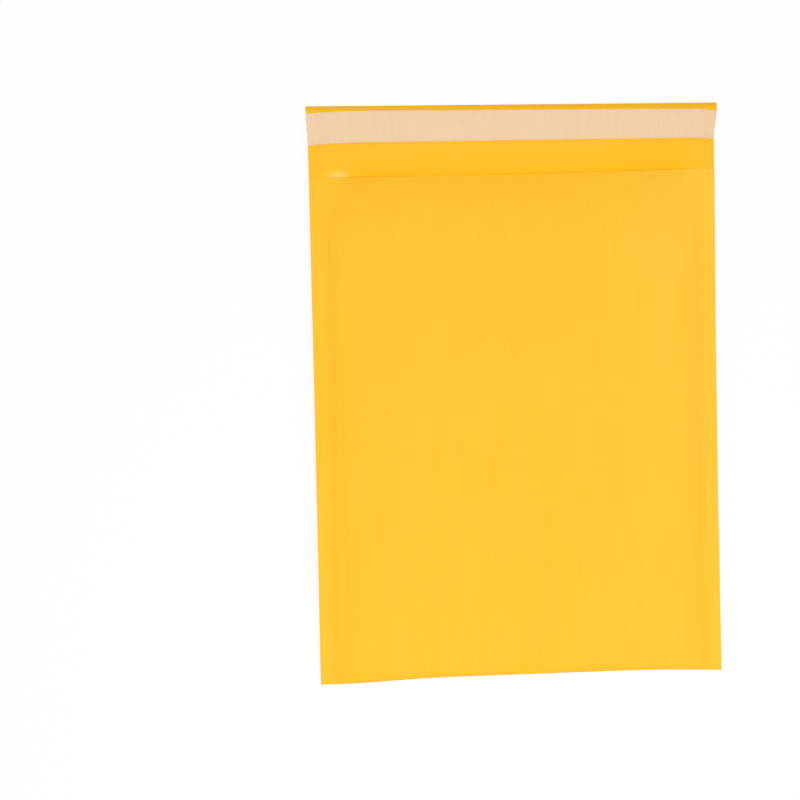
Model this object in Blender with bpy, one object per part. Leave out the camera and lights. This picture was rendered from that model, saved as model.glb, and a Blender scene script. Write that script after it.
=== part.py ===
"""A padded mailer that lies on its back with its mouth and peel strip facing up.

X runs across the mailer, +Y from the bottom fold towards the flap, +Z up. The origin is on the
table under the middle. The paper is one sheet: back panel and flap, bottom fold, front panel.
The bubble film inside it is a second folded pocket, sealed into the side seams.
"""

import math

import bmesh
import bpy

# Driving dimensions, in metres
MAILER_WIDTH = 0.240
POCKET_LENGTH = 0.300  # from the bottom fold to the mouth
FLAP_LENGTH = 0.040  # from the mouth to the end of the flap
PAPER_THICKNESS = 0.00025
BUBBLE_HEIGHT = 0.0026  # one wall of bubble film
SEALED_FILM = 0.0004  # both walls of film, crushed flat in a seam
POCKET_GAP = 0.0050  # how far the lining's springiness holds the pocket ajar
FIT_GAP = 0.0003  # clearance between pieces that touch

SEAM_WIDTH = 0.008
SHOULDER_WIDTH = 0.020  # the rise from a side seam to the flat of the panel
FOLD_DEPTH = 0.010  # the rounded shoulder at the bottom fold
POCKET_SIDE_INSET = 0.003  # from a seam to the open part of the pocket
LINING_SIDE_INSET = 0.0008  # the film stops short of the paper's side edges
LIP_LENGTH = 0.008  # bare paper between the film and the mouth
LIP_DROOP = 0.0026  # the front lip bends down by this much
LIP_BEND = 1.5  # 1 is a straight slope, and more is a bend that grows towards the edge
LIP_RISE = 0.0030  # and the back panel rises to the flap by this much

SIDE_PULL_LEFT = 0.0008  # how far the padding draws each side edge in at the mouth
SIDE_PULL_RIGHT = 0.0024
FLARE_LENGTH = 0.024  # over which the flap widens again towards its end
BOTTOM_BOW = 0.0024  # how far the padding draws the bottom fold in at the middle
MOUTH_BOW = 0.0008  # and the middle of the mouth
MOUTH_SKEW = 0.004  # the mouth is cut this much higher at its right end
FLAP_SKEW = 0.0024  # the flap is cut this much lower at its right end
FLAP_LIFT = 0.0030  # the flap stands this far off the table towards its end
FLAP_EDGE_KEPT = 0.15  # share of the seams' rise that is left in the flap's sides at its end
FLAP_CURL = 0.0010  # the end itself bends down again by this much
CURL_LENGTH = 0.008

LINER_WIDTH = 0.0174
LINER_MARGIN = 0.0033  # bare paper between the liner and the flap's end
LINER_THICKNESS = 0.00012
LINER_SIDE_INSET = 0.0004
ADHESIVE_WIDTH = 0.012
ADHESIVE_THICKNESS = 0.0002
ADHESIVE_SIDE_INSET = 0.005

# How finely each stretch is divided
SHOULDER_COLUMNS = 7
FLAT_COLUMNS = 6
PANEL_ROWS = 8
FOLD_ROWS = 8
LIP_ROWS = 4
FLAP_ROWS = 10
STRIP_ROWS = 5

TOTAL_LENGTH = POCKET_LENGTH + FLAP_LENGTH
END_Y = TOTAL_LENGTH / 2
FOLD_Y = -END_Y
HALF_WIDTH = MAILER_WIDTH / 2
WALL = PAPER_THICKNESS + FIT_GAP + BUBBLE_HEIGHT
TOTAL_HEIGHT = 2 * WALL + POCKET_GAP
SEAM_HEIGHT = TOTAL_HEIGHT / 2  # the seams' middle above the table
HALF_SEAM = PAPER_THICKNESS + FIT_GAP + SEALED_FILM / 2
LINING_DEPTH = PAPER_THICKNESS + FIT_GAP  # from the outer face of the paper to the film
WELD = 1e-6  # corners of a mesh nearer than this are one
FRONT, BACK = 1, -1


def clamp(value, low=0.0, high=1.0):
    return max(low, min(high, value))


def ease(value):
    t = clamp(value)
    return t * t * (3 - 2 * t)


def level_off(value):
    """A parabola that starts steeply at 0 and levels off at 1."""
    t = clamp(value)
    return t * (2 - t)


def quarter_round(depth, radius):
    """Height, from 0 to 1, of an elliptical nose at a depth behind its tip."""
    if radius <= max(depth, 0.0):
        return 1.0
    return math.sqrt(1 - (1 - clamp(depth / radius)) ** 2)


def shoulder(depth):
    """Height, from 0 to 1, of a panel at a depth inside its side seam."""
    return level_off(depth / SHOULDER_WIDTH)


def half_width_at(side, y):
    """The padding draws the sides in towards the mouth, and the flap's end stays full width."""
    past_flare = ease((END_Y - y) / FLARE_LENGTH)
    past_corner = level_off((y - FOLD_Y) / POCKET_LENGTH)
    pull = SIDE_PULL_RIGHT if side > 0 else SIDE_PULL_LEFT
    return HALF_WIDTH - pull * past_flare * past_corner


def fold_line(x):
    """The bottom fold bows inwards between its corners."""
    return FOLD_Y + BOTTOM_BOW * (1 - clamp(abs(x) / HALF_WIDTH) ** 2)


def flap_end_line(x):
    """The flap's end is cut a little askew as well, and reaches furthest at the left."""
    return END_Y - FLAP_SKEW * (x / MAILER_WIDTH + 0.5)


def mouth_line(x):
    """The mouth is cut a little askew, and its middle is drawn in."""
    bow = MOUTH_BOW * (1 - clamp(abs(x) / HALF_WIDTH) ** 2)
    return FOLD_Y + POCKET_LENGTH + MOUTH_SKEW * x / MAILER_WIDTH - bow


def panel_height(x, y, side, depth, pocket=False):
    """Height of one face of a panel: depth is how far it lies under the outer face of the paper."""
    behind_fold = y - fold_line(x) - depth
    inside_seam = half_width_at(x, y) - SEAM_WIDTH - abs(x)
    inside_seam -= POCKET_SIDE_INSET if pocket else depth
    half_seam = 0.0 if pocket else HALF_SEAM - depth
    reach = (TOTAL_HEIGHT - SEAM_HEIGHT if side == FRONT else SEAM_HEIGHT) - depth
    seam = half_seam * quarter_round(behind_fold, half_seam)
    pillow = shoulder(inside_seam) * quarter_round(behind_fold, FOLD_DEPTH - depth)
    return SEAM_HEIGHT + side * (seam + (reach - half_seam) * pillow)


def between_seams(x, y):
    """From 0 in the side seams to 1 where their shoulders end."""
    return shoulder(half_width_at(x, y) - SEAM_WIDTH - abs(x))


def lip_shift(x, y, side):
    """Beyond the film the bare paper of both lips bends inwards, less where the seams hold it."""
    along = clamp(1 - (mouth_line(x) - y) / LIP_LENGTH)
    shift = -LIP_DROOP * along ** LIP_BEND if side == FRONT else LIP_RISE * ease(along)
    return shift * between_seams(x, y)


def flap_height(x, y):
    """Height of the flap's outer face, which faces the table."""
    start, end = mouth_line(x), flap_end_line(x)
    along = ease((y - start) / (end - start))
    inside = between_seams(x, y)
    edge_rise = (SEAM_HEIGHT - HALF_SEAM) * (1 - inside) * (1 - (1 - FLAP_EDGE_KEPT) * along)
    middle_rise = LIP_RISE * inside * (1 - along) + FLAP_LIFT * along
    curl = clamp((y - end) / CURL_LENGTH + 1) ** 2
    return edge_rise + middle_rise - FLAP_CURL * curl


def shoulder_steps(start, count):
    return [start + SHOULDER_WIDTH * i / count for i in range(count + 1)]


def columns_across(edge):
    """Columns from left to right: (side, distance from the edge), or (0, share of the flat)."""
    flat = [2 * i / FLAT_COLUMNS - 1 for i in range(1, FLAT_COLUMNS)]
    return [(-1, d) for d in edge] + [(0, s) for s in flat] + [(1, d) for d in reversed(edge)]


def column_x(column, y, inset):
    side, value = column
    if side == 0:
        return value * (half_width_at(value, y) - SEAM_WIDTH - SHOULDER_WIDTH)
    return side * (half_width_at(side, y) - max(value, inset))


def bent_grid(bm, columns, rows, place):
    """A grid of faces, each corner of which is put where place(column, row) says."""
    across, along = len(columns) - 1, len(rows) - 1
    grid = bmesh.ops.create_grid(bm, x_segments=across, y_segments=along, size=1)
    for vert in grid["verts"]:
        i = round((vert.co.x + 1) / 2 * across)
        j = round((vert.co.y + 1) / 2 * along)
        vert.co = place(columns[i], rows[j])
    return grid["verts"]


def pocket_rows(depth, lip_rows=0):
    """Rows from the back panel's mouth round the bottom fold to the front panel's mouth.

    A row is (side, behind the fold's tip, share of the way from there to the lip, length of lip).
    """
    bend = []
    for i in range(1, FOLD_ROWS + 1):
        angle = math.pi / 2 * i / FOLD_ROWS
        bend.append(depth + (FOLD_DEPTH - depth) * (1 - math.cos(angle)))
    half = [(b, 0.0, 0.0) for b in bend]
    half += [(bend[-1], i / PANEL_ROWS, 0.0) for i in range(1, PANEL_ROWS + 1)]
    half += [(bend[-1], 1.0, LIP_LENGTH * i / lip_rows) for i in range(1, lip_rows + 1)]
    back = [(BACK, *row) for row in reversed(half)]
    return back + [(FRONT, depth, 0.0, 0.0)] + [(FRONT, *row) for row in half]


def spot_between(column, side_inset, start, end, share, beyond=0.0):
    """Where a column passes a share of the way between two lines across, and a length beyond."""
    y = 0.0
    for _ in range(2):
        x = column_x(column, y, side_inset)
        y = start(x) + (end(x) - start(x)) * share + beyond
    return x, y


def pocket_place(column, row, depth, side_inset=0.0, pocket=False):
    """A point of the folded pocket. Film with a side inset closes at its sides, in the seam's middle."""
    side, behind, share, along_lip = row
    x, y = spot_between(column, side_inset, lambda x: fold_line(x) + behind,
                        lambda x: mouth_line(x) - LIP_LENGTH, share, along_lip)
    if side_inset and column[0] and column[1] <= side_inset:
        return x, y, SEAM_HEIGHT
    return x, y, panel_height(x, y, side, depth, pocket)


def make_object(name, bm, color, roughness, smooth_angle=math.radians(40)):
    mesh = bpy.data.meshes.new(name)
    bm.to_mesh(mesh)
    bm.free()
    mesh.shade_smooth()
    mesh.set_sharp_from_angle(angle=smooth_angle)
    material = bpy.data.materials.new(name)
    material.use_nodes = True
    shader = material.node_tree.nodes["Principled BSDF"]
    shader.inputs["Base Color"].default_value = (*color, 1.0)
    shader.inputs["Roughness"].default_value = roughness
    shader.inputs["Metallic"].default_value = 0.0
    mesh.materials.append(material)
    obj = bpy.data.objects.new(name, mesh)
    bpy.context.scene.collection.objects.link(obj)
    return obj


def thicken(obj, thickness, offset):
    wall = obj.modifiers.new("sheet thickness", "SOLIDIFY")
    wall.thickness = thickness
    wall.offset = offset
    wall.use_even_offset = True


def paper_envelope():
    """One sheet of kraft paper, folded at the bottom: flap, back panel, fold, front panel."""
    bm = bmesh.new()
    columns = columns_across([0.0, SEAM_WIDTH / 2] + shoulder_steps(SEAM_WIDTH, SHOULDER_COLUMNS))
    flap_rows = [("flap", 1 - i / FLAP_ROWS) for i in range(FLAP_ROWS)]
    rows = flap_rows + pocket_rows(0.0, LIP_ROWS)

    def place(column, row):
        if row[0] == "flap":
            x, y = spot_between(column, 0.0, mouth_line, flap_end_line, row[1])
            return x, y, flap_height(x, y)
        x, y, z = pocket_place(column, row, 0.0)
        return x, y, z + lip_shift(x, y, row[0])

    bent_grid(bm, columns, rows, place)
    obj = make_object("paper_envelope", bm, (0.93, 0.55, 0.06), 0.62)
    thicken(obj, PAPER_THICKNESS, -1)
    return obj


def bubble_lining():
    """Bubble film folded into a pocket: an outer face, an inner face and the rim at the mouth."""
    bm = bmesh.new()
    rim = SEAM_WIDTH + POCKET_SIDE_INSET
    margin = [LINING_SIDE_INSET, LINING_SIDE_INSET + SEALED_FILM / 2, SEAM_WIDTH / 2]
    outer_columns = columns_across(margin + shoulder_steps(SEAM_WIDTH, SHOULDER_COLUMNS))
    # In the rim all of the seam's columns run to the pocket's edge, so its faces stay in the film
    inner_columns = columns_across([rim] * len(margin) + shoulder_steps(rim, SHOULDER_COLUMNS))

    def outer_place(column, row):
        return pocket_place(column, row, LINING_DEPTH, LINING_SIDE_INSET)

    def inner_place(column, row):
        return pocket_place(column, row, WALL, rim, pocket=True)

    outer_rows, inner_rows = pocket_rows(LINING_DEPTH), pocket_rows(WALL)
    bent_grid(bm, outer_columns, outer_rows, outer_place)
    bent_grid(bm, inner_columns, inner_rows, inner_place)

    def rim_place(columns, edge):
        outer, inner = columns
        side, face = edge
        if face == "outer":
            return outer_place(outer, outer_rows[side])
        return inner_place(inner, inner_rows[side])

    for mouth_row in (0, -1):
        edges = [(mouth_row, "outer"), (mouth_row, "inner")]
        bent_grid(bm, list(zip(outer_columns, inner_columns)), edges, rim_place)
    bmesh.ops.remove_doubles(bm, verts=bm.verts[:], dist=WELD)
    bmesh.ops.recalc_face_normals(bm, faces=bm.faces[:])
    return make_object("bubble_lining", bm, (0.86, 0.88, 0.88), 0.25)


def flap_strip(name, width, thickness, lift, side_inset, color, roughness):
    """A strip across the flap's inner face: lift is how far it stands off the paper's outer face."""
    bm = bmesh.new()
    middle = LINER_MARGIN + LINER_WIDTH / 2
    rows = [middle + width * (0.5 - i / STRIP_ROWS) for i in range(STRIP_ROWS + 1)]

    def place(column, from_end):
        x, y = spot_between(column, side_inset, lambda x: flap_end_line(x) - from_end, flap_end_line, 0.0)
        return x, y, flap_height(x, y) + lift

    columns = columns_across([side_inset] + shoulder_steps(SEAM_WIDTH, SHOULDER_COLUMNS))
    bent_grid(bm, columns, rows, place)
    obj = make_object(name, bm, color, roughness)
    thicken(obj, thickness, 1)
    return obj


def remove_everything():
    for obj in list(bpy.data.objects):
        bpy.data.objects.remove(obj, do_unlink=True)


def main():
    remove_everything()
    paper_envelope()
    bubble_lining()
    adhesive_lift = PAPER_THICKNESS + FIT_GAP
    flap_strip("adhesive_strip", ADHESIVE_WIDTH, ADHESIVE_THICKNESS, adhesive_lift,
               ADHESIVE_SIDE_INSET, (0.80, 0.62, 0.32), 0.2)
    liner_lift = adhesive_lift + ADHESIVE_THICKNESS + FIT_GAP
    flap_strip("release_liner", LINER_WIDTH, LINER_THICKNESS, liner_lift,
               LINER_SIDE_INSET, (0.86, 0.63, 0.40), 0.35)


main()
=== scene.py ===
# Padded kraft mailer, lying on its back with the mouth and the peel strip facing up.
# X runs across it, +Y from the bottom fold towards the flap, +Z up. All lengths are in metres.

import math

import bmesh
import bpy
from mathutils import Matrix, Vector, noise


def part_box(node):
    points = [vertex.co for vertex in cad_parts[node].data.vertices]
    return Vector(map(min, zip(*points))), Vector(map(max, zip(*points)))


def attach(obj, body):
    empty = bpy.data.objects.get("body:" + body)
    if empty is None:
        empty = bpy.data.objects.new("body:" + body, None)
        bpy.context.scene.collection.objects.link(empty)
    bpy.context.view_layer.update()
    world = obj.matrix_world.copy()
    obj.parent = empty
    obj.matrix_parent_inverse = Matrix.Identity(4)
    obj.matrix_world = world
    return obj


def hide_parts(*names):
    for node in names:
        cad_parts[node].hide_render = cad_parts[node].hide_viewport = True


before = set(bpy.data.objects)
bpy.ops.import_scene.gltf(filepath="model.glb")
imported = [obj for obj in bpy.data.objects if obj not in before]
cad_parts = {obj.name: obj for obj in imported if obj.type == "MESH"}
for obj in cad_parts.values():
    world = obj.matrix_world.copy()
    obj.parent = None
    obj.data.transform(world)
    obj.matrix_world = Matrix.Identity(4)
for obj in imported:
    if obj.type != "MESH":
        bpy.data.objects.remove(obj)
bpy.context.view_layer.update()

mm = 0.001
paperLow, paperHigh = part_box("paper_envelope")
print("frame loaded:", ", ".join(sorted(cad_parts)))


# The folded pocket: every piece follows these surfaces

mailer = {
    "halfWidth": 120 * mm,
    "foldY": paperLow.y,
    "endY": 170 * mm,
    "pocketLength": 299.5 * mm,
    "seamWidth": 8 * mm,
    "height": paperHigh.z,
    "seamHeight": paperHigh.z / 2,  # the seams' middle above the table
    "shoulderWidth": 20 * mm,
    "foldDepth": 10 * mm,
    "pullLeft": 0.8 * mm,  # the padding draws the sides in towards the mouth
    "pullRight": 2.4 * mm,
    "splayRight": 0.8 * mm,  # and the bottom right corner is pressed out
    "flareLength": 24 * mm,
    "foldBow": 2.0 * mm,  # and draws the bottom fold in, less near its ends
    "foldBowStart": 6 * mm,
    "foldBowLeft": 72 * mm,
    "foldBowRight": 60 * mm,
    "mouthBow": 0.8 * mm,
    "mouthSkew": 0.6 * mm,
    "flapSkew": 2.4 * mm,
    "flapLift": 3.0 * mm,
    "flapEdgeKept": 0.15,  # share of the seams' rise that is left in the flap's sides at its end
    "flapCurl": 2.4 * mm,  # the flap's end bends down to the table
    "curlLength": 3.0 * mm,
    "curlBend": 1.3,
    "paper": 0.25 * mm,
    "filmDepth": 0.5 * mm,  # from the outside of the paper to the film
    "wallDepth": 3.15 * mm,  # and to the tops of the bubbles
    "pocketInset": 3 * mm,  # from a seam to the open part of the pocket
    "halfSeam": 0.5 * mm,
    "halfSealedFilm": 0.12 * mm,
    "halfLipSeam": 0.28 * mm,  # beyond the film the seams hold only the two papers
    "lipLength": 8 * mm,  # bare paper between the film and the mouth
    "lipRise": 3.0 * mm,  # the back panel rises to the flap
    "sink": 7.7 * mm,  # and the front panel sinks to meet it
    "sinkLength": 42 * mm,
    "sinkBend": 1.6,  # 1 is a straight slope, and more is a bend that grows towards the mouth
}
front, back = 1, -1


def clamp(value, low=0.0, high=1.0):
    return max(low, min(high, value))


def ease(value):
    t = clamp(value)
    return t * t * (3 - 2 * t)


def levelOff(value):
    t = clamp(value)
    return t * (2 - t)


def quarterRound(depth, radius):
    if radius <= max(depth, 0.0):
        return 1.0
    return math.sqrt(1 - (1 - clamp(depth / radius)) ** 2)


def shoulder(depth):
    return levelOff(depth / mailer["shoulderWidth"])


seeds = {  # each pattern has its own part of the noise
    "foldDent": 1.3,
    "strip": 2.2,
    "swell": 3.1,
    "glueEdge": 4.4,
    "mouthWave": 5.5,
    "glueBeads": 6.6,
    "pucker": 7.7,
    "flapWave": 9.1,
}


def ripple(x, y, seed, size):  # smooth noise, from about -1 to 1, with waves about size long
    return noise.noise(Vector((x / size, y / size, seed)))


def halfWidthAt(side, y):
    pastFlare = ease((mailer["endY"] - y) / mailer["flareLength"])
    pastCorner = levelOff((y - mailer["foldY"]) / mailer["pocketLength"])
    if side > 0:
        splay = mailer["splayRight"] * (1 - clamp((y - mailer["foldY"]) / mailer["pocketLength"]))
        return mailer["halfWidth"] + splay - mailer["pullRight"] * pastFlare * pastCorner
    return mailer["halfWidth"] - mailer["pullLeft"] * pastFlare * pastCorner


def foldLine(x):
    fromLeft = mailer["halfWidth"] + x
    fromRight = mailer["halfWidth"] - x
    left = ease((fromLeft - mailer["foldBowStart"]) / mailer["foldBowLeft"])
    return mailer["foldY"] + mailer["foldBow"] * min(left, levelOff(fromRight / mailer["foldBowRight"]))


def mouthLine(x):
    across = x / mailer["halfWidth"]
    skew = mailer["mouthSkew"] * across / 2
    bow = mailer["mouthBow"] * (1 - clamp(abs(across)) ** 2)
    return mailer["foldY"] + mailer["pocketLength"] + skew - bow


def flapEndLine(x):
    return mailer["endY"] - mailer["flapSkew"] * (x / (2 * mailer["halfWidth"]) + 0.5)


def insideSeam(x, y):
    return halfWidthAt(x, y) - mailer["seamWidth"] - abs(x)


def halfSeamAt(x, y):
    alongLip = ease(1 - (mouthLine(x) - y) / mailer["lipLength"])
    return mailer["halfSeam"] + (mailer["halfLipSeam"] - mailer["halfSeam"]) * alongLip


def panelHeight(x, y, side, depth, pocket=False):
    behindFold = y - foldLine(x) - depth
    inside = insideSeam(x, y) - (mailer["pocketInset"] if pocket else depth)
    halfSeam = 0.0 if pocket else max(halfSeamAt(x, y) - depth, mailer["halfSealedFilm"])
    reach = mailer["height"] - mailer["seamHeight"] if side == front else mailer["seamHeight"]
    seam = halfSeam * quarterRound(behindFold, halfSeam)
    pillow = shoulder(inside) * quarterRound(behindFold, mailer["foldDepth"] - depth)
    height = mailer["seamHeight"] + side * (seam + (reach - depth - halfSeam) * pillow)
    return height + mouthShift(x, y, side) * shoulder(inside)


def mouthShift(x, y, side):  # both panels bend towards each other at the mouth
    behindMouth = mouthLine(x) - y
    if side == back:
        return mailer["lipRise"] * ease(1 - behindMouth / mailer["lipLength"])
    return -mailer["sink"] * clamp(1 - behindMouth / mailer["sinkLength"]) ** mailer["sinkBend"]


def flapHeight(x, y):
    start, end = mouthLine(x), flapEndLine(x)
    along = ease((y - start) / (end - start))
    inside = shoulder(insideSeam(x, y))
    edgeRise = (mailer["seamHeight"] - mailer["halfLipSeam"]) * (1 - inside)
    edgeRise *= 1 - (1 - mailer["flapEdgeKept"]) * along
    middleRise = mailer["lipRise"] * inside * (1 - along) + mailer["flapLift"] * along
    curl = clamp((y - end) / mailer["curlLength"] + 1) ** mailer["curlBend"]
    return edgeRise + middleRise - mailer["flapCurl"] * curl


# How the padding moulds the paper

padding = {
    "bubblePitch": 11.0 * mm,
    "bubblePrint": 0.022 * mm,  # how far the bubbles show through the paper
    "swell": 0.30 * mm,
    "swellSize": 70 * mm,
    "swellAlong": 0.6,  # below 1, its waves are longer along the mailer than across it
    "backShare": 0.4,  # the back panel is pressed smoother
    "pucker": 0.20 * mm,  # short folds that fan out from the seams
    "puckerSize": 13 * mm,
    "puckerAcross": 0.25,  # below 1, they are longer across the mailer than along it
    "puckerStart": -2 * mm,
    "puckerRise": 5 * mm,
    "puckerPeak": 5 * mm,
    "puckerFade": 12 * mm,
    "foldDent": 0.35 * mm,  # and dents along the crushed fold
    "foldDentSize": 17 * mm,
    "foldDentAlong": 0.5,
    "foldDentRise": 2 * mm,
    "foldDentPeak": 3 * mm,
    "foldDentFade": 9 * mm,
    "foldDentInset": 6 * mm,
    "mouthWave": 0.06 * mm,
    "mouthWaveSize": 34 * mm,
    "mouthWaveLength": 22 * mm,
    "flapWave": 0.12 * mm,
    "flapWaveSize": 40 * mm,
    "flapWaveStart": 10 * mm,
}


def bubblePrint(x, y):  # three waves at 60 degrees make a hexagonal field of bumps
    k = 4 * math.pi / (math.sqrt(3) * padding["bubblePitch"])
    total = 0.0
    for turn in (90, 30, 150):
        a = math.radians(turn)
        total += math.cos(k * (x * math.cos(a) + y * math.sin(a)))
    return total / 3


def swell(x, y, side):  # what all layers of a wall share
    if side == back:
        return 0.0
    inside = ease(insideSeam(x, y) / mailer["shoulderWidth"])
    inside *= ease((y - foldLine(x)) / (2 * mailer["foldDepth"]))
    wave = ripple(x, padding["swellAlong"] * y, seeds["swell"], padding["swellSize"])
    return padding["swell"] * wave * inside


def paperRelief(x, y, side):
    inside = insideSeam(x, y)
    behind = y - foldLine(x)
    flat = ease(inside / mailer["shoulderWidth"]) * ease(behind / mailer["foldDepth"])
    relief = padding["bubblePrint"] * bubblePrint(x, y) * flat
    nearSeam = ease((inside - padding["puckerStart"]) / padding["puckerRise"])
    nearSeam *= 1 - ease((inside - padding["puckerPeak"]) / padding["puckerFade"])
    pucker = ripple(x * padding["puckerAcross"], y, seeds["pucker"] + side, padding["puckerSize"])
    relief += padding["pucker"] * nearSeam * pucker
    nearFold = ease(behind / padding["foldDentRise"]) * ease(inside / padding["foldDentInset"])
    nearFold *= 1 - ease((behind - padding["foldDentPeak"]) / padding["foldDentFade"])
    dent = ripple(x, y * padding["foldDentAlong"], seeds["foldDent"] + side, padding["foldDentSize"])
    return relief + padding["foldDent"] * nearFold * dent


def bentGrid(bm, columns, rows, place, tone=None):
    across, along = len(columns) - 1, len(rows) - 1
    layer = bm.verts.layers.float.new("tone") if tone else None
    grid = bmesh.ops.create_grid(bm, x_segments=across, y_segments=along, size=1)
    for vert in grid["verts"]:
        i = round((vert.co.x + 1) / 2 * across)
        j = round((vert.co.y + 1) / 2 * along)
        vert.co = place(columns[i], rows[j])
        if tone:
            vert[layer] = tone(rows[j][0], vert.co.x, vert.co.y)


def steps(start, end, size):  # from start to end in equal steps of about size
    count = max(1, round(abs(end - start) / size))
    return [start + (end - start) * i / count for i in range(count + 1)]


def columnsAcross(inset, size):  # (side, distance from the edge), or (0, share of the flat)
    shoulderEnd = mailer["seamWidth"] + mailer["shoulderWidth"]
    edge = steps(inset, mailer["seamWidth"], size)[:-1] + steps(mailer["seamWidth"], shoulderEnd, size)
    flatWidth = 2 * (mailer["halfWidth"] - shoulderEnd)
    flat = [2 * t / flatWidth for t in steps(-flatWidth / 2, flatWidth / 2, size)[1:-1]]
    return [(-1, d) for d in edge] + [(0, s) for s in flat] + [(1, d) for d in reversed(edge)]


def columnX(column, y):
    side, value = column
    if side == 0:
        return value * (halfWidthAt(value, y) - mailer["seamWidth"] - mailer["shoulderWidth"])
    return side * (halfWidthAt(side, y) - value)


def pocketRows(depth, foldSteps, size, lipStep=None):
    # A row is (side, behind the fold's tip, share of the way from there to the lip, length of lip)
    bend = []
    for i in range(1, foldSteps + 1):
        bend.append(depth + (mailer["foldDepth"] - depth) * (1 - math.cos(math.pi / 2 * i / foldSteps)))
    half = [(b, 0.0, 0.0) for b in bend]
    half += [(bend[-1], share, 0.0) for share in steps(0, 1, size / mailer["pocketLength"])[1:]]
    if lipStep:
        half += [(bend[-1], 1.0, along) for along in steps(0, mailer["lipLength"], lipStep)[1:]]
    backRows = [(back, *row) for row in reversed(half)]
    return backRows + [(front, depth, 0.0, 0.0)] + [(front, *row) for row in half]


def spotBetween(column, start, end, share, beyond=0.0):  # x and y depend on each other a little
    y = 0.0
    for _ in range(3):
        x = columnX(column, y)
        y = start(x) + (end(x) - start(x)) * share + beyond
    return x, y


def pocketSpot(column, row):
    side, behind, share, alongLip = row
    return spotBetween(column, lambda x: foldLine(x) + behind,
                       lambda x: mouthLine(x) - mailer["lipLength"], share, alongLip)


sheetCrease = 60  # degrees between faces, past which their edge is shaded as sharp


def makePiece(name, bm, *materials, sharpDegrees=sheetCrease):
    mesh = bpy.data.meshes.new(name)
    bm.to_mesh(mesh)
    bm.free()
    mesh.shade_smooth()
    mesh.set_sharp_from_angle(angle=math.radians(sharpDegrees))
    for material in materials:
        mesh.materials.append(material)
    piece = bpy.data.objects.new(name, mesh)
    bpy.context.scene.collection.objects.link(piece)
    return piece


def thicken(piece, thickness, offset):
    wall = piece.modifiers.new("thickness", "SOLIDIFY")
    wall.thickness = thickness
    wall.offset = offset
    wall.use_even_offset = True
    if len(piece.data.materials) > 1:
        wall.material_offset_rim = 1
    surface = piece.data
    shaped = piece.evaluated_get(bpy.context.evaluated_depsgraph_get())
    piece.data = bpy.data.meshes.new_from_object(shaped)
    piece.modifiers.clear()
    piece.data.set_sharp_from_angle(angle=math.radians(sheetCrease))
    bpy.data.meshes.remove(surface)


# Materials

def newMaterial(name):
    material = bpy.data.materials.new(name)
    material.use_nodes = True
    tree = material.node_tree
    return material, tree, tree.nodes["Principled BSDF"]


def addNode(tree, kind, settings=None, **inputs):
    node = tree.nodes.new(kind)
    for key, value in (settings or {}).items():
        setattr(node, key, value)
    for key, value in inputs.items():
        socket = node.inputs[key.replace("_", " ")]
        if isinstance(value, bpy.types.NodeSocket):
            tree.links.new(value, socket)
        else:
            socket.default_value = value
    return node


def stretchedNoise(tree, scale, detail=4.0, roughness=0.55):
    place = addNode(tree, "ShaderNodeTexCoord").outputs["Object"]
    mapped = addNode(tree, "ShaderNodeMapping", Vector=place, Scale=scale)
    pattern = addNode(tree, "ShaderNodeTexNoise", Vector=mapped.outputs["Vector"], Scale=1.0,
                      Detail=detail, Roughness=roughness)
    return pattern.outputs["Fac"]


def spread(tree, value, low, high, fromLow=0.3, fromHigh=0.7):  # maps a pattern onto a range
    node = addNode(tree, "ShaderNodeMapRange", Value=value)
    for key, number in (("From Min", fromLow), ("From Max", fromHigh), ("To Min", low), ("To Max", high)):
        node.inputs[key].default_value = number
    return node.outputs["Result"]


def blend(tree, factor, a, b):
    node = addNode(tree, "ShaderNodeMix", {"data_type": "RGBA"})
    for socket, value in ((node.inputs[0], factor), (node.inputs[6], a), (node.inputs[7], b)):
        if isinstance(value, bpy.types.NodeSocket):
            tree.links.new(value, socket)
        else:
            socket.default_value = value
    return node.outputs[2]


def bumps(tree, shader, layers):  # layers are (pattern, strength, distance), the coarsest first
    normal = None
    for height, strength, distance in layers:
        node = addNode(tree, "ShaderNodeBump", Height=height, Strength=strength, Distance=distance)
        if normal:
            tree.links.new(normal, node.inputs["Normal"])
        normal = node.outputs["Normal"]
    tree.links.new(normal, shader.inputs["Normal"])


kraft = {
    "color": (0.972, 0.519, 0.026, 1.0),
    "light": (0.990, 0.558, 0.040, 1.0),
    "dark": (0.925, 0.460, 0.016, 1.0),
    # deep is the colour of painted shade and pale of painted light, laid on by the tone attribute
    "deep": (0.970, 0.482, 0.005, 1.0),
    "pale": (0.990, 0.620, 0.100, 1.0),
    "cutEdge": (0.90, 0.60, 0.16, 1.0),
    "roughness": (0.46, 0.60),
    "gloss": 0.06,
    "streaks": {"scale": (460, 16, 460), "detail": 5.0, "roughness": 0.6},  # scale is waves to the metre
    "streakShare": 0.55,
    "streakRange": (0.35, 0.65),  # the part of the noise that is spread over the whole share
    "streakBump": (0.35, 0.06 * mm),  # strength and distance
    "clouds": {"scale": (26, 14, 26), "detail": 3.0},
    "cloudShare": 0.16,
    "fibres": {"scale": (1700, 420, 1700), "roughness": 0.65},
    "fibreShare": 0.20,
    "fibreRange": (0.45, 0.75),
    "fibreBump": (0.30, 0.04 * mm),
    "grain": {"scale": (5200, 5200, 5200), "detail": 2.0},
    "grainBump": (0.20, 0.02 * mm),
}


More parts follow.
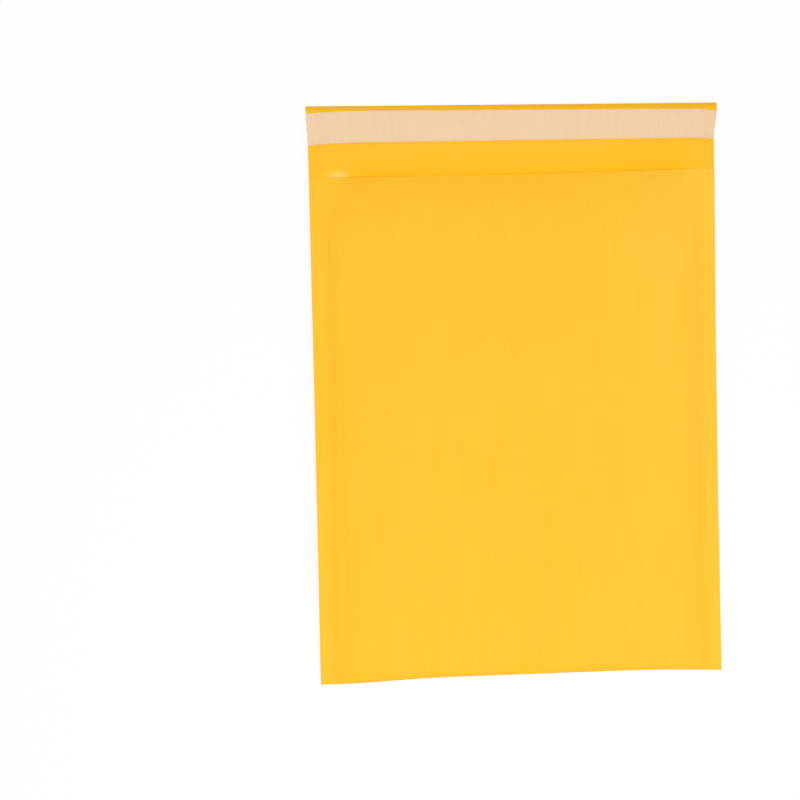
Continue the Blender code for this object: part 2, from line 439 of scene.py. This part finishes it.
def kraftPaper(name, color, light, dark):
    material, tree, shader = newMaterial(name)
    streaks = stretchedNoise(tree, **kraft["streaks"])
    clouds = stretchedNoise(tree, **kraft["clouds"])
    fibres = stretchedNoise(tree, **kraft["fibres"])
    grain = stretchedNoise(tree, **kraft["grain"])
    tone = blend(tree, spread(tree, streaks, 0.0, kraft["streakShare"], *kraft["streakRange"]), color, light)
    tone = blend(tree, spread(tree, clouds, 0.0, kraft["cloudShare"]), tone, dark)
    tone = blend(tree, spread(tree, fibres, 0.0, kraft["fibreShare"], *kraft["fibreRange"]), tone, dark)
    # the tone attribute paints shade where it is above 0 and light where it is below 0
    paintedTone = addNode(tree, "ShaderNodeAttribute", {"attribute_name": "tone"}).outputs["Fac"]
    tone = blend(tree, spread(tree, paintedTone, 0.0, 1.0, 0.0, 1.0), tone, kraft["deep"])
    tone = blend(tree, spread(tree, paintedTone, 0.0, 1.0, 0.0, -1.0), tone, kraft["pale"])
    tree.links.new(tone, shader.inputs["Base Color"])
    tree.links.new(spread(tree, fibres, *kraft["roughness"]), shader.inputs["Roughness"])
    shader.inputs["Specular IOR Level"].default_value = kraft["gloss"]
    bumps(tree, shader, [(streaks, *kraft["streakBump"]), (fibres, *kraft["fibreBump"]),
                         (grain, *kraft["grainBump"])])
    return material


release = {
    "color": (0.826, 0.570, 0.344, 1.0),
    "pale": (0.876, 0.628, 0.402, 1.0),
    "cutEdge": (0.93, 0.80, 0.62, 1.0),
    "paleShare": 0.5,
    "roughness": (0.53, 0.66),
    "gloss": 0.15,
    "mottle": {"scale": (60, 160, 60), "roughness": 0.6},
    "mottleBump": (0.25, 0.08 * mm),
    "ribs": {"scale": (520, 40, 520), "detail": 3.0},
    "ribRange": (0.35, 0.65),
    "ribBump": (0.2, 0.03 * mm),
}


def releasePaper(name, color, pale):
    material, tree, shader = newMaterial(name)
    mottle = stretchedNoise(tree, **release["mottle"])
    ribs = stretchedNoise(tree, **release["ribs"])
    tone = blend(tree, spread(tree, mottle, 0.0, release["paleShare"]), color, pale)
    tone = blend(tree, spread(tree, ribs, 0.0, release["paleShare"], *release["ribRange"]), tone, pale)
    tree.links.new(tone, shader.inputs["Base Color"])
    tree.links.new(spread(tree, mottle, *release["roughness"]), shader.inputs["Roughness"])
    shader.inputs["Specular IOR Level"].default_value = release["gloss"]
    bumps(tree, shader, [(mottle, *release["mottleBump"]), (ribs, *release["ribBump"])])
    return material


glue = {
    "color": (0.78, 0.50, 0.16, 1.0),
    "dark": (0.60, 0.34, 0.08, 1.0),
    "roughness": 0.18,
    "glowShare": 0.2,  # of the light, scattered below the surface
    "glowDepth": (1.0 * mm, 0.6 * mm, 0.3 * mm),  # of its red, green and blue
    "flow": {"scale": (90, 400, 90), "detail": 3.0},
    "flowBump": (0.5, 0.1 * mm),
}


def hotMelt(name):
    material, tree, shader = newMaterial(name)
    flow = stretchedNoise(tree, **glue["flow"])
    tree.links.new(blend(tree, spread(tree, flow, 0.0, 1.0), glue["color"], glue["dark"]),
                   shader.inputs["Base Color"])
    shader.inputs["Roughness"].default_value = glue["roughness"]
    shader.inputs["Subsurface Weight"].default_value = glue["glowShare"]
    shader.inputs["Subsurface Radius"].default_value = glue["glowDepth"]
    bumps(tree, shader, [(flow, *glue["flowBump"])])
    return material


film = {
    "color": (0.93, 0.95, 0.96, 1.0),
    "haze": (0.86, 0.89, 0.91, 1.0),
    "roughness": (0.10, 0.24),
    "crinkle": {"scale": (240, 240, 240), "roughness": 0.6},
    "crinkleBump": (0.4, 0.15 * mm),
}
filmLook = {"IOR": 1.12, "Transmission Weight": 0.86, "Coat Weight": 0.8, "Coat Roughness": 0.08}


def bubbleFilm(name):
    material, tree, shader = newMaterial(name)
    crinkle = stretchedNoise(tree, **film["crinkle"])
    tree.links.new(blend(tree, spread(tree, crinkle, 0.0, 1.0), film["color"], film["haze"]),
                   shader.inputs["Base Color"])
    tree.links.new(spread(tree, crinkle, *film["roughness"]), shader.inputs["Roughness"])
    for socket, value in filmLook.items():
        shader.inputs[socket].default_value = value
    bumps(tree, shader, [(crinkle, *film["crinkleBump"])])
    return material


kraftBody = kraftPaper("kraft paper", kraft["color"], kraft["light"], kraft["dark"])
kraftCut = kraftPaper("cut kraft edge", kraft["cutEdge"], kraft["light"], kraft["color"])
releaseFace = releasePaper("release paper", release["color"], release["pale"])
releaseCut = releasePaper("cut release edge", release["cutEdge"], release["pale"])
glueBody = hotMelt("hot melt glue")
filmBody = bubbleFilm("bubble film")
print("materials made:", len(bpy.data.materials))


# The paper: one sheet, from the flap's end down the back, round the bottom fold and up the front

sheet = {
    "step": 2.3 * mm,
    "foldSteps": 16,
    "lipStep": 0.9 * mm,
    "flapStep": 1.0 * mm,
    "flapCrowding": 1.25,  # the flap's rows lie closer together towards its end
}
corner = {  # a small pucker in the flap where the left seam ends at the mouth, painted paler as a highlight
    "fromEdge": 18.5 * mm,
    "beyondMouth": 3 * mm,
    "width": 6 * mm,
    "length": 4 * mm,
    "height": 0.8 * mm,
    "paintedHighlight": 1.7,
}


def mouthRelief(x, y):  # the front panel's cut edge waves a little
    near = 1 - ease((mouthLine(x) - y) / padding["mouthWaveLength"])
    return padding["mouthWave"] * ripple(x, 0.0, seeds["mouthWave"], padding["mouthWaveSize"]) * near


def cornerPucker(x, y, beyondMouth):
    dx = (x + mailer["halfWidth"] - corner["fromEdge"]) / corner["width"]
    dy = (y - mouthLine(x) - beyondMouth) / corner["length"]
    return math.exp(-dx * dx - dy * dy)


def flapRelief(x, y):
    wave = padding["flapWave"] * ripple(x, y, seeds["flapWave"], padding["flapWaveSize"])
    wave *= ease((y - mouthLine(x)) / padding["flapWaveStart"])
    return wave + corner["height"] * cornerPucker(x, y, corner["beyondMouth"])


paintedShading = {  # painted shade and light: above 0 the paper is painted deeper as shade, and below 0 paler as light
    # the whole flap is painted a little deeper, as shade
    "flap": 0.28,
    "mouthShade": 0.85,  # painted shade on the flap along the mouth, which fades before both seams
    "scoreLength": 4.4 * mm,
    "scoreLeft": -102 * mm,
    "scoreLeftFade": 14 * mm,
    "scoreRight": 110 * mm,
    "scoreRightFade": 16 * mm,
    "lip": 0.10,  # painted shade on the front panel's edge at the mouth, except at its right
    "lipLength": 9 * mm,
    "lipRight": 80 * mm,
    "lipRightFade": 50 * mm,
    "fold": 0.5,  # painted shade along the bottom fold
    "foldLength": 1.6 * mm,
    "paintedLight": -0.15,  # painted light on the front panel's right side
    "paintedLightFrom": 10 * mm,
    "paintedLightFade": 100 * mm,
}


# painted shade and light for each part of the paper
def paperTone(part, x, y):
    beyond = y - mouthLine(x)
    mouthShaded = ease((x - paintedShading["scoreLeft"]) / paintedShading["scoreLeftFade"])
    mouthShaded *= ease((paintedShading["scoreRight"] - x) / paintedShading["scoreRightFade"])
    near = math.exp(-abs(beyond) / paintedShading["scoreLength"])
    # the corner pucker is painted paler, as a highlight
    pucker = corner["paintedHighlight"] * cornerPucker(x, y, 0.0)
    if part == "flap":
        return paintedShading["flap"] + paintedShading["mouthShade"] * mouthShaded * near - pucker
    fold = paintedShading["fold"] * math.exp(-max(y - foldLine(x), 0.0) / paintedShading["foldLength"])
    if part == back:
        return (paintedShading["flap"] + paintedShading["mouthShade"] * mouthShaded) * near - pucker + fold
    lip = paintedShading["lip"] * mouthShaded * math.exp(-(beyond / paintedShading["lipLength"]) ** 2)
    lip *= ease((paintedShading["lipRight"] - x) / paintedShading["lipRightFade"])
    return lip + fold + paintedShading["paintedLight"] * ease((x - paintedShading["paintedLightFrom"]) / paintedShading["paintedLightFade"])


def envelopePaper():
    bm = bmesh.new()
    flapRows = steps(1.0, 0.0, sheet["flapStep"] / (mailer["endY"] - mouthLine(0)))[:-1]
    rows = [("flap", 1 - (1 - share) ** sheet["flapCrowding"]) for share in flapRows]
    rows += pocketRows(0.0, sheet["foldSteps"], sheet["step"], sheet["lipStep"])

    def place(column, row):
        if row[0] == "flap":
            x, y = spotBetween(column, mouthLine, flapEndLine, row[1])
            return x, y, flapHeight(x, y) + flapRelief(x, y)
        x, y = pocketSpot(column, row)
        side = row[0]
        z = panelHeight(x, y, side, 0.0) + swell(x, y, side)
        z += paperRelief(x, y, side) * (1 if side == front else padding["backShare"])
        if side == front:
            z += mouthRelief(x, y)
        return x, y, max(z, 0.0) if side == back else z

    bentGrid(bm, columnsAcross(0.0, sheet["step"]), rows, place, paperTone)
    piece = makePiece("envelopePaper", bm, kraftBody, kraftCut)
    thicken(piece, mailer["paper"], -1)
    return piece


paperPiece = envelopePaper()
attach(paperPiece, "root")
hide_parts("paper_envelope")
print("paper folded:", len(paperPiece.data.polygons), "faces")


# The lining: clear film along the paper, and air bubbles that face into the pocket

lining = {
    "sideInset": 0.8 * mm,
    "step": 4 * mm,
    "foldSteps": 10,
    "thickness": 0.08 * mm,
    "bubbleRadius": 4.9 * mm,
    "bubbleHeight": 2.5 * mm,
    "leastHeight": 0.7 * mm,
    "seat": 0.05 * mm,  # how far the middle of a bubble's floor stands off the film
    "lipGap": 0.5 * mm,  # from the film's edge to the first row of bubbles
    "sides": 12,
    "rings": 3,
    "fullness": 0.7,  # below 1, the dome is fuller than half a ball
    "crown": 0.5,  # rise of the dome's middle above its last ring, as a share of bubbleHeight
    "sharpDegrees": 80,
}


def liningFilm():
    bm = bmesh.new()

    def place(column, row):
        x, y = pocketSpot(column, row)
        return x, y, panelHeight(x, y, row[0], mailer["filmDepth"]) + swell(x, y, row[0])

    rows = pocketRows(mailer["filmDepth"], lining["foldSteps"], lining["step"])
    bentGrid(bm, columnsAcross(lining["sideInset"], lining["step"]), rows, place)
    piece = makePiece("liningFilm", bm, filmBody)
    thicken(piece, lining["thickness"], -1)
    return piece


def oneBubble(bm):  # a flat-bottomed dome of radius 1, which its crown brings to a height of 1.37
    made = bmesh.ops.create_circle(bm, cap_ends=True, segments=lining["sides"], radius=1)
    verts = made["verts"]
    ringEdges = [e for e in bm.edges if all(v in verts for v in e.verts)]
    base = next(iter(bm.faces))
    base.normal_update()
    if base.normal.z > 0:
        base.normal_flip()
    for ring in range(1, lining["rings"]):
        tilt = math.pi / 2 * ring / lining["rings"]
        grown = bmesh.ops.extrude_edge_only(bm, edges=ringEdges)["geom"]
        ringVerts = [g for g in grown if isinstance(g, bmesh.types.BMVert)]
        ringEdges = [g for g in grown if isinstance(g, bmesh.types.BMEdge)]
        for vert in ringVerts:
            flat = Vector((vert.co.x, vert.co.y, 0)).normalized() * math.cos(tilt) ** lining["fullness"]
            vert.co = (flat.x, flat.y, math.sin(tilt))
    top = bmesh.ops.contextual_create(bm, geom=ringEdges)["faces"]
    bmesh.ops.poke(bm, faces=top, offset=lining["crown"])
    bmesh.ops.recalc_face_normals(bm, faces=bm.faces[:])


def bubbleSpots():
    pitch = padding["bubblePitch"]
    rowStep = pitch * math.sqrt(3) / 2
    radius = lining["bubbleRadius"]
    count = int(mailer["halfWidth"] / pitch) + 1
    for j in range(1, int(mailer["pocketLength"] / rowStep) + 1):
        shift = pitch / 2 if j % 2 else 0.0
        for i in range(-count, count + 1):
            x = i * pitch + shift
            y = mouthLine(x) - mailer["lipLength"] - radius - lining["lipGap"] - (j - 1) * rowStep
            if insideSeam(x, y) > mailer["pocketInset"] + radius and y - foldLine(x) > mailer["foldDepth"]:
                yield x, y


def liningBubbles():
    bm = bmesh.new()
    oneBubble(bm)
    shape = bpy.data.meshes.new("bubble")
    bm.to_mesh(shape)
    bm.free()
    bm = bmesh.new()
    radius = lining["bubbleRadius"]
    floorDepth = mailer["filmDepth"] + lining["thickness"]
    for side in (front, back):
        for x, y in bubbleSpots():
            base = panelHeight(x, y, side, floorDepth) + swell(x, y, side)
            room = abs(base - panelHeight(x, y, side, mailer["wallDepth"], pocket=True) - swell(x, y, side))
            height = min(lining["bubbleHeight"], room)
            if height < lining["leastHeight"]:
                continue
            left, right, lower, upper = (panelHeight(x + dx * radius, y + dy * radius, side, floorDepth)
                                         for dx, dy in ((-1, 0), (1, 0), (0, -1), (0, 1)))
            up = Vector((left - right, lower - upper, 2 * radius)).normalized() * -side
            turn = up.to_track_quat("Z", "Y").to_matrix().to_4x4()
            spot = Vector((x, y, base)) + up * lining["seat"]
            size = Matrix.Diagonal((radius, radius, height, 1))
            known = len(bm.verts)
            bm.from_mesh(shape)
            bm.verts.ensure_lookup_table()
            bmesh.ops.transform(bm, matrix=Matrix.Translation(spot) @ turn @ size, verts=bm.verts[known:])
    bpy.data.meshes.remove(shape)
    return makePiece("liningBubbles", bm, filmBody, sharpDegrees=lining["sharpDegrees"])


filmPiece = liningFilm()
bubblePiece = liningBubbles()
for piece in (filmPiece, bubblePiece):
    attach(piece, "root")
    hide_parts("bubble_lining")
print("lining made:", len(bubblePiece.data.polygons), "faces of bubbles")


# The flap's glue and its peel strip

strip = {
    "fromEnd": 3.3 * mm,  # bare paper between the strip and the flap's end
    "width": 17.4 * mm,
    "sideInset": 0.1 * mm,
    "thickness": 0.11 * mm,
    "lift": 0.47 * mm,  # from the outside of the paper
    "settle": 0.19 * mm,  # its upper edge lies down
    "peel": 0.40 * mm,  # and its lower edge has come up a little
    "shift": 0.25 * mm,
    "taper": 0.46 * mm,  # it was cut a little wider at its left end
    "droopLeft": 1.5 * mm,
    "droopLeftLength": 34 * mm,
    "droopRight": 1.1 * mm,
    "droopRightLength": 16 * mm,
    "wave": 0.05 * mm,
    "waveSize": 28 * mm,
    "endLift": 0.12 * mm,
    "endLiftLength": 12 * mm,
    "rows": 14,
    "step": 2.2 * mm,
}
glueBand = {
    "width": 12 * mm,
    "sideInset": 5 * mm,
    "thickness": 0.10 * mm,
    "lift": 0.28 * mm,
    "wander": 0.5 * mm,  # its edges aren't straight
    "wanderSize": 22 * mm,
    "crown": 0.05 * mm,
    "beads": 0.02 * mm,
    "beadSize": 5 * mm,
    "droopShare": 0.5,  # it sags half as much as the strip
    "rows": 8,
    "step": 2.6 * mm,
}


def droop(x, y):  # the strip sags towards both of its ends
    fromLeft = halfWidthAt(-1, y) + x
    fromRight = halfWidthAt(1, y) - x
    left = strip["droopLeft"] * clamp(1 - fromLeft / strip["droopLeftLength"]) ** 2
    return left + strip["droopRight"] * clamp(1 - fromRight / strip["droopRightLength"]) ** 2


def flapBand(settings, surface):
    bm = bmesh.new()
    middle = strip["fromEnd"] + strip["width"] / 2
    halfBand = settings["width"] / 2
    rows = steps(middle + halfBand, middle - halfBand, settings["width"] / settings["rows"])

    def place(column, fromEnd):
        x, y = spotBetween(column, lambda x: flapEndLine(x) - fromEnd, flapEndLine, 0.0)
        return surface(x, y, (middle - fromEnd) / halfBand)

    bentGrid(bm, columnsAcross(settings["sideInset"], settings["step"]), rows, place)
    return bm


def stripSurface(x, y, across):
    nearEnd = 1 - min((halfWidthAt(x, y) - abs(x)) / strip["endLiftLength"], 1.0)
    lift = strip["lift"] + strip["wave"] * (1 + ripple(x, y, seeds["strip"], strip["waveSize"]))
    lift += strip["endLift"] * nearEnd ** 2
    lift += strip["peel"] * max(-across, 0.0) ** 4 - strip["settle"] * max(across, 0.0) ** 6
    y += strip["shift"] - strip["taper"] * across * x / mailer["halfWidth"] - droop(x, y)
    return x, y, flapHeight(x, y) + lift


def glueSurface(x, y, across):
    wander = ripple(x, 0.0, seeds["glueEdge"] + (across > 0), glueBand["wanderSize"])
    crown = glueBand["crown"] * (1 - across * across)
    beads = glueBand["beads"] * ripple(x, y, seeds["glueBeads"], glueBand["beadSize"])
    y += glueBand["wander"] * wander * abs(across)
    z = flapHeight(x, y) + glueBand["lift"] + max(crown + beads, 0.0)
    return x, y - glueBand["droopShare"] * droop(x, y), z


stripPiece = makePiece("peelStrip", flapBand(strip, stripSurface), releaseFace, releaseCut)
thicken(stripPiece, strip["thickness"], 1)
gluePiece = makePiece("hotMeltBand", flapBand(glueBand, glueSurface), glueBody)
thicken(gluePiece, glueBand["thickness"], 1)
for piece, node, slot in ((stripPiece, "release_liner", "release_paper"),
                          (gluePiece, "adhesive_strip", "hot_melt_glue")):
    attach(piece, "root")
    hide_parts(node)
print("glue and peel strip laid on the flap")


# The table, the light and the camera

studio = {
    "floorSize": 8.0,
    "floorDrop": 0.25 * mm,
    "floorColor": (0.92, 0.92, 0.92, 1.0),
    "floorGlow": 0.84,  # share of the floor that the camera sees as plain white
    "fill": 0.485,
    "white": (1.0, 1.0, 1.0, 1.0),
}


def whenSeen(tree, glossy=True):  # 1 for rays that come from the camera, or that a shiny surface sends
    path = addNode(tree, "ShaderNodeLightPath")
    seen = path.outputs["Is Camera Ray"]
    if glossy:
        for name in ("Is Glossy Ray", "Is Transmission Ray"):
            node = addNode(tree, "ShaderNodeMath", {"operation": "MAXIMUM"})
            tree.links.new(seen, node.inputs[0])
            tree.links.new(path.outputs[name], node.inputs[1])
            seen = node.outputs[0]
    return seen


def makeFloor():
    bm = bmesh.new()
    bmesh.ops.create_grid(bm, x_segments=1, y_segments=1, size=studio["floorSize"] / 2)
    bmesh.ops.translate(bm, verts=bm.verts[:], vec=(0, 0, -studio["floorDrop"]))
    material = bpy.data.materials.new("white table")
    material.use_nodes = True
    tree = material.node_tree
    tree.nodes.clear()
    matte = addNode(tree, "ShaderNodeBsdfDiffuse", Color=studio["floorColor"])
    glow = addNode(tree, "ShaderNodeEmission", Color=studio["white"], Strength=1.0)
    share = addNode(tree, "ShaderNodeMath", {"operation": "MULTIPLY"})
    tree.links.new(whenSeen(tree), share.inputs[0])
    share.inputs[1].default_value = studio["floorGlow"]
    mix = addNode(tree, "ShaderNodeMixShader", Fac=share.outputs[0])
    tree.links.new(matte.outputs[0], mix.inputs[1])
    tree.links.new(glow.outputs[0], mix.inputs[2])
    out = addNode(tree, "ShaderNodeOutputMaterial")
    tree.links.new(mix.outputs[0], out.inputs["Surface"])
    floor = makePiece("studioTable", bm, material)


def makeWorld():
    world = bpy.data.worlds.new("studio")
    world.use_nodes = True
    bpy.context.scene.world = world
    tree = world.node_tree
    tree.nodes.clear()
    soft = addNode(tree, "ShaderNodeBackground", Color=studio["white"], Strength=studio["fill"])
    plain = addNode(tree, "ShaderNodeBackground", Color=studio["white"], Strength=1.0)
    mix = addNode(tree, "ShaderNodeMixShader", Fac=whenSeen(tree, glossy=False))
    tree.links.new(soft.outputs[0], mix.inputs[1])
    tree.links.new(plain.outputs[0], mix.inputs[2])
    out = addNode(tree, "ShaderNodeOutputWorld")
    tree.links.new(mix.outputs[0], out.inputs["Surface"])


lamps = {
    "key": {"place": (-0.02, 0.18, 1.7), "size": 0.5, "power": 12.2},
    "low": {"place": (0.0, -0.45, 0.7), "size": 0.35, "power": 1.70},
}


def makeLamp(name, place, size, power):  # aimed at the origin
    data = bpy.data.lights.new(name, "AREA")
    data.shape = "DISK"
    data.size = size
    data.energy = power
    lamp = bpy.data.objects.new(name, data)
    lamp.location = place
    lamp.rotation_euler = (-Vector(place)).to_track_quat("-Z", "Y").to_euler()
    bpy.context.scene.collection.objects.link(lamp)


camera = {
    "place": (-0.1408, 0.1305, 1.1676),
    "aim": (-0.0689, -0.0019, 0.0),
    "rollDegrees": -1.25,
    "lens": 90.0,  # this and the sensor's width are in millimetres
    "sensor": 36.0,
    "farthest": 50.0,
}


def makeCamera():
    data = bpy.data.cameras.new("camera")
    data.lens = camera["lens"]
    data.sensor_width = camera["sensor"]
    data.clip_end = camera["farthest"]
    obj = bpy.data.objects.new("camera", data)
    place = Vector(camera["place"])
    look = (Vector(camera["aim"]) - place).normalized()
    roll = math.radians(camera["rollDegrees"])
    right = look.cross(Vector((0, 1, 0))).normalized()
    level = Matrix((right, right.cross(look), -look)).transposed()
    obj.matrix_world = Matrix.Translation(place) @ level.to_4x4() @ Matrix.Rotation(roll, 4, "Z")
    bpy.context.scene.collection.objects.link(obj)
    bpy.context.scene.camera = obj


makeFloor()
makeWorld()
for name, settings in lamps.items():
    makeLamp(name, **settings)
makeCamera()
bpy.context.scene.view_settings.view_transform = "Standard"
print("table, light and camera set")
